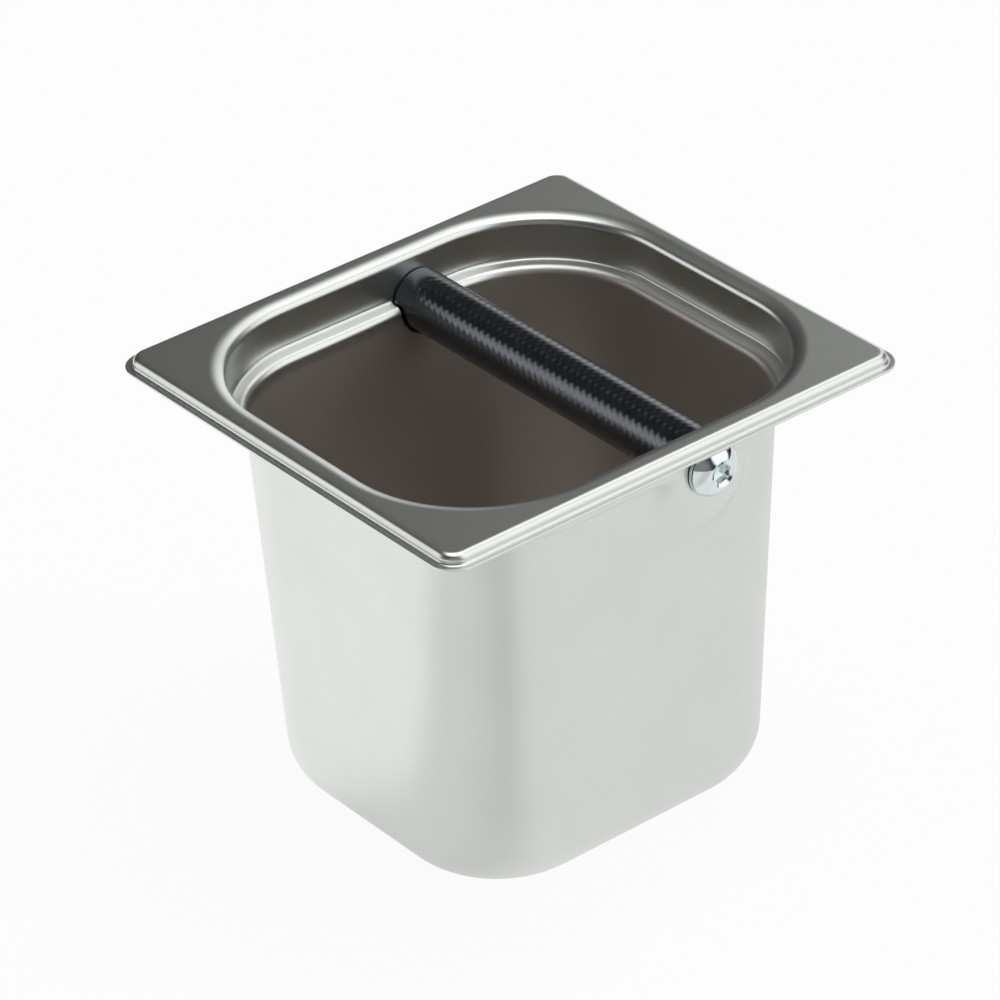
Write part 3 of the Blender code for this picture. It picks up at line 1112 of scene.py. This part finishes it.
@dataclass
class Studio:
    """Pale floor, soft sky and the camera."""

    floor_radius: float = 6.0
    floor_shine: float = 0.93
    sky: tuple[tuple[float, float], ...] = (
        (0.0, 0.04),
        (60.0, 0.04),
        (72.0, 2.4),
    )
    boxes: tuple[SoftBox, ...] = (
        SoftBox((0.64, 0.14, 0.76), 16.0, 22.0, 1.3),
        SoftBox((0.5, -0.7, 0.45), 26.0, 38.0, 1.25),
        SoftBox((0.3, -0.6, 0.73), 16.0, 30.0, 0.12),
        SoftBox((-0.68, -0.72, 0.17), 10.0, 40.0, 0.2),
        SoftBox((-0.69, 0.67, 0.24), 11.0, 23.0, 1.25),
        SoftBox((0.82, 0.53, 0.22), 8.0, 22.0, 1.15),
    )
    # Painted light on the floor's glow that the steel mirrors: brighter to the camera's left, and a painted
    # shadow towards the camera.
    floor_tones: tuple[float, float] = (0.93, 1.12)
    tone_edges: tuple[float, float] = (-40.0 * MM, 60.0 * MM)
    dip_level: float = -0.25
    dip_aside: float = 50.0 * MM
    dip_slope: float = 2.0
    dip_edges: tuple[float, float] = (-60.0 * MM, 30.0 * MM)
    target: tuple[float, float, float] = (-3.681 * MM, 2.363 * MM, 98.487 * MM)
    distance: float = 1696.524 * MM
    azimuth: float = math.radians(-38.017)
    elevation: float = math.radians(31.882)
    roll: float = math.radians(-2.470)
    lens: float = 200.0

    def build_floor(self) -> bpy.types.Object:
        """Lay the floor.

        Returns:
            The floor, which isn't part of the object.
        """
        shape = bmesh.new()
        bmesh.ops.create_circle(shape, cap_ends=True, segments=96, radius=self.floor_radius)
        mesh = bpy.data.meshes.new("floor")
        shape.to_mesh(mesh)
        shape.free()
        floor = add_piece("floor", mesh, self.floor_material())
        floor.location.z = -0.2 * MM
        return floor

    def floor_material(self) -> bpy.types.Material:
        """White floor that keeps a soft shadow; the glow that the steel mirrors is painted light, brighter
        to the camera's left, with a painted shadow towards the camera.
        """
        material = bpy.data.materials.new("white_floor")
        material.use_nodes = True
        board = NodeBoard(material.node_tree)
        material.node_tree.nodes.clear()
        path = board.add("ShaderNodeLightPath")
        rays = ("Is Camera Ray", "Is Glossy Ray", "Is Transmission Ray")
        camera, glossy, through = (Field(board, path.outputs[ray]) for ray in rays)
        place = board.add("ShaderNodeTexCoord").outputs["Object"]
        forth, across = (
            self.distance_along(board, place, self.azimuth + turn) for turn in (0.0, -math.pi / 2)
        )
        # Painted shadow towards the camera and painted light to the left, seen only in the steel's
        # reflections of the floor.
        aside = (across - self.dip_aside).maths("ABSOLUTE")
        near = (forth - aside * self.dip_slope).eased(*self.dip_edges)
        painted_glow = across.eased(*self.tone_edges).between(*self.floor_tones) + near * self.dip_level
        paint = board.add("ShaderNodeBsdfDiffuse", Color=(0.9, 0.9, 0.9, 1.0))
        glow = board.add(
            "ShaderNodeEmission", Color=(1.0, 1.0, 1.0, 1.0), Strength=camera + through + glossy * painted_glow
        )
        mix = board.add("ShaderNodeMixShader", Fac=(camera + glossy + through).clamped() * self.floor_shine)
        board.plug(mix.inputs[1], paint.outputs[0])
        board.plug(mix.inputs[2], glow.outputs[0])
        board.add("ShaderNodeOutputMaterial", Surface=mix.outputs[0])
        return material

    def distance_along(self, board: NodeBoard, place: bpy.types.NodeSocket, azimuth: float) -> Field:
        """Distance of a place from the middle of the floor.

        Args:
            board: The board to work on.
            place: Coordinates.
            azimuth: Direction of the distance, 0 to the front.

        Returns:
            The distance.
        """
        product = board.add("ShaderNodeVectorMath", {"operation": "DOT_PRODUCT"})
        board.plug(product.inputs[0], place)
        board.plug(product.inputs[1], (math.sin(azimuth), -math.cos(azimuth), 0.0))
        return Field(board, product.outputs["Value"])

    def build_sky(self) -> None:
        """Soft light from above, with a darker band over the horizon for the steel to mirror."""
        world = bpy.data.worlds.new("soft_sky")
        world.use_nodes = True
        board = NodeBoard(world.node_tree)
        way = board.add("ShaderNodeTexCoord").outputs["Generated"]
        _, _, up = board.parts(way)
        ramp = board.add("ShaderNodeValToRGB", Fac=up)
        brightest = max(level for _, level in self.sky)
        stops = ramp.color_ramp.elements
        stops.remove(stops[-1])
        for place, (degrees, level) in enumerate(self.sky):
            stop = stops.new(math.sin(math.radians(degrees))) if place else stops[0]
            stop.color = (*[level / brightest] * 3, 1.0)
        light = Field(board, ramp.outputs["Color"]) * brightest
        for box in self.boxes:
            facing = board.add("ShaderNodeVectorMath", {"operation": "DOT_PRODUCT"})
            board.plug(facing.inputs[0], way)
            board.plug(facing.inputs[1], Vector(box.towards).normalized())
            near = Field(board, facing.outputs["Value"])
            edge, middle = (math.cos(math.radians(angle)) for angle in (box.edge, box.middle))
            light = light + near.eased(edge, middle) * box.level
        board.plug(world.node_tree.nodes["Background"].inputs["Strength"], light)
        board.plug(world.node_tree.nodes["Background"].inputs["Color"], (1.0, 1.0, 1.0, 1.0))
        bpy.context.scene.world = world

    def build_camera(self) -> bpy.types.Object:
        """Put the camera at the photograph's angle.

        Returns:
            The camera.
        """
        flat = math.cos(self.elevation)
        back = Vector(
            (math.sin(self.azimuth) * flat, -math.cos(self.azimuth) * flat, math.sin(self.elevation))
        )
        right = Vector((math.cos(self.azimuth), math.sin(self.azimuth), 0.0))
        up = back.cross(right)
        across = math.cos(self.roll) * right + math.sin(self.roll) * up
        upright = math.cos(self.roll) * up - math.sin(self.roll) * right
        eye = Vector(self.target) + self.distance * back
        data = bpy.data.cameras.new("camera")
        data.lens = self.lens
        data.sensor_width = 36.0
        data.clip_start = 0.05
        camera = bpy.data.objects.new("camera", data)
        camera.matrix_world = Matrix.Translation(eye) @ Matrix((across, upright, back)).transposed().to_4x4()
        bpy.context.scene.collection.objects.link(camera)
        bpy.context.scene.camera = camera
        return camera

    def build(self) -> None:
        """Set the whole stage up."""
        bpy.context.scene.view_settings.view_transform = "Standard"
        self.build_floor()
        self.build_sky()
        self.build_camera()


def main() -> None:
    """Build the knock box and its stage."""
    logging.basicConfig(level=logging.INFO, format="%(name)s: %(message)s")
    bar = BarPlace()
    screw_plating = BrightZinc().material("bright_zinc")
    washer_plating = BrightZinc(colour=(0.55, 0.56, 0.55), roughness=0.16).material("washer_zinc")
    pieces = [
        Pan(bar, SatinSteel().material()).build(),
        KnockBar(bar, BlackRubber().material(), TurnedSteel().material()).build(),
    ]
    for side in Side:
        fastener = Fastener(bar, side, screw_plating, washer_plating)
        pieces += [fastener.build_washer(), fastener.build_screw()]
    for piece in pieces:
        log.info("%s: %d faces", piece.name, len(piece.data.polygons))
    Studio().build()


if __name__ == "__main__":
    main()
